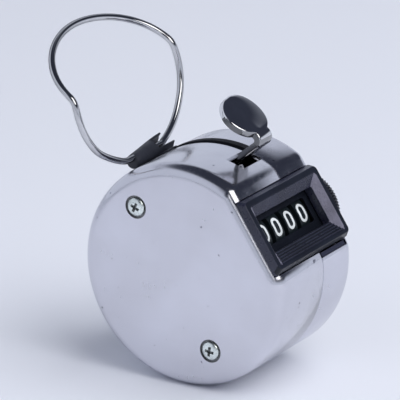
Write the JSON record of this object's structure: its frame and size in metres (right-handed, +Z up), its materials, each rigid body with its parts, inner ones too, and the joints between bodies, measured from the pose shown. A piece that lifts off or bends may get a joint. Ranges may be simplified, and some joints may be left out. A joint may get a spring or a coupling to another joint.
{
  "type": "hand tally counter",
  "caption": "Round metal hand tally counter with a digit window, folded thumb lever, side reset knob and wire finger ring.",
  "frame": {"origin": "centre of the left flat face, on the round case's axis", "axes": "+X along the case's axis from the left face to the reset knob, -Y towards the digit window, +Z up through the thumb lever"},
  "size_m": [0.0405, 0.0548, 0.0657],
  "materials": {
    "case_steel": "satin",
    "black_plastic": "matte",
    "bezel_plastic": "satin",
    "screw_steel": "satin",
    "inner_steel": "satin",
    "spring_steel": "satin",
    "knob_plastic": "matte",
    "wheel_plastic": "satin",
    "pinion_nylon": "satin",
    "chrome": "polished"
  },
  "bodies": {
    "case": {"left_shell": "case_steel", "right_shell": "case_steel", "inner_band": "black_plastic", "window_bezel": "bezel_plastic", "bezel_flange": "bezel_plastic", "case_screw_upper": "screw_steel", "case_screw_lower": "screw_steel", "screw_post_upper": "inner_steel", "screw_post_lower": "inner_steel", "frame_plate_left": "inner_steel", "frame_plate_right": "inner_steel", "frame_spacer_rear": "inner_steel", "frame_spacer_top": "inner_steel", "frame_spacer_front": "inner_steel", "pinion_shaft": "inner_steel", "lever_pin": "inner_steel", "detent_pin": "inner_steel", "lever_spring": "spring_steel", "ring_sleeve": "black_plastic", "ring_lug": "black_plastic", "window_mask": "black_plastic"},
    "knob": {"reset_knob": "knob_plastic", "knob_nut": "screw_steel", "shaft_washer": "screw_steel", "wheel_shaft": "inner_steel"},
    "units": {"wheel_units": "wheel_plastic", "ratchet_wheel": "inner_steel"},
    "tens": {"wheel_tens": "wheel_plastic"},
    "hundreds": {"wheel_hundreds": "wheel_plastic"},
    "thousands": {"wheel_thousands": "wheel_plastic"},
    "pinion_tens": {"pinion_tens": "pinion_nylon"},
    "pinion_hundreds": {"pinion_hundreds": "pinion_nylon"},
    "pinion_thousands": {"pinion_thousands": "pinion_nylon"},
    "lever": {"thumb_lever": "chrome", "drive_pawl_pin": "inner_steel"},
    "drive_pawl": {"drive_pawl": "inner_steel"},
    "detent_pawl": {"detent_pawl": "inner_steel"},
    "ring": {"finger_ring": "chrome"}
  },
  "joints": [
    {"name": "knob_turn", "type": "hinge", "parent": "case", "child": "knob", "pos_m": [0.0139, -0.00837, 0.00565], "axis": [1, 0, 0], "continuous": true},
    {"name": "units_spin", "type": "hinge", "parent": "case", "child": "units", "pos_m": [0.02095, -0.00837, 0.00565], "axis": [1, 0, 0], "continuous": true},
    {"name": "tens_spin", "type": "hinge", "parent": "case", "child": "tens", "pos_m": [0.01625, -0.00837, 0.00565], "axis": [1, 0, 0], "continuous": true},
    {"name": "hundreds_spin", "type": "hinge", "parent": "case", "child": "hundreds", "pos_m": [0.01155, -0.00837, 0.00565], "axis": [1, 0, 0], "continuous": true},
    {"name": "thousands_spin", "type": "hinge", "parent": "case", "child": "thousands", "pos_m": [0.00685, -0.00837, 0.00565], "axis": [1, 0, 0], "continuous": true},
    {"name": "pinion_tens_spin", "type": "hinge", "parent": "case", "child": "pinion_tens", "pos_m": [0.0186, -0.00382, -0.00223], "axis": [1, 0, 0], "continuous": true},
    {"name": "pinion_hundreds_spin", "type": "hinge", "parent": "case", "child": "pinion_hundreds", "pos_m": [0.0139, -0.00382, -0.00223], "axis": [1, 0, 0], "continuous": true},
    {"name": "pinion_thousands_spin", "type": "hinge", "parent": "case", "child": "pinion_thousands", "pos_m": [0.0092, -0.00382, -0.00223], "axis": [1, 0, 0], "continuous": true},
    {"name": "lever_press", "type": "hinge", "parent": "case", "child": "lever", "pos_m": [0.0127, -0.009, 0.016], "axis": [-1, 0, 0], "range_deg": [0, 14], "stiffness_Nm_per_rad": 0.05, "springref_deg": -17.19, "deforming": ["lever_spring"]},
    {"name": "drive_pawl_lift", "type": "hinge", "parent": "lever", "child": "drive_pawl", "pos_m": [0.02335, -0.0015, 0.0135], "axis": [-1, 0, 0], "range_deg": [0, 6], "stiffness_Nm_per_rad": 0.002, "springref_deg": -11.46},
    {"name": "detent_lift", "type": "hinge", "parent": "case", "child": "detent_pawl", "pos_m": [0.02335, -0.01279, -0.00265], "axis": [-1, 0, 0], "range_deg": [0, 12], "stiffness_Nm_per_rad": 0.002, "springref_deg": -11.46},
    {"name": "ring_swing", "type": "hinge", "parent": "case", "child": "ring", "pos_m": [0.0129, 0.01604, 0.01888], "axis": [1, 0, 0], "range_deg": [-95, 60]}
  ],
  "couplings": [
    {"joint": "tens_spin", "follows": "units_spin", "ratio": 0.1},
    {"joint": "hundreds_spin", "follows": "units_spin", "ratio": 0.01},
    {"joint": "thousands_spin", "follows": "units_spin", "ratio": 0.001},
    {"joint": "pinion_tens_spin", "follows": "units_spin", "ratio": -0.25},
    {"joint": "pinion_hundreds_spin", "follows": "units_spin", "ratio": -0.025},
    {"joint": "pinion_thousands_spin", "follows": "units_spin", "ratio": -0.0025}
  ]
}
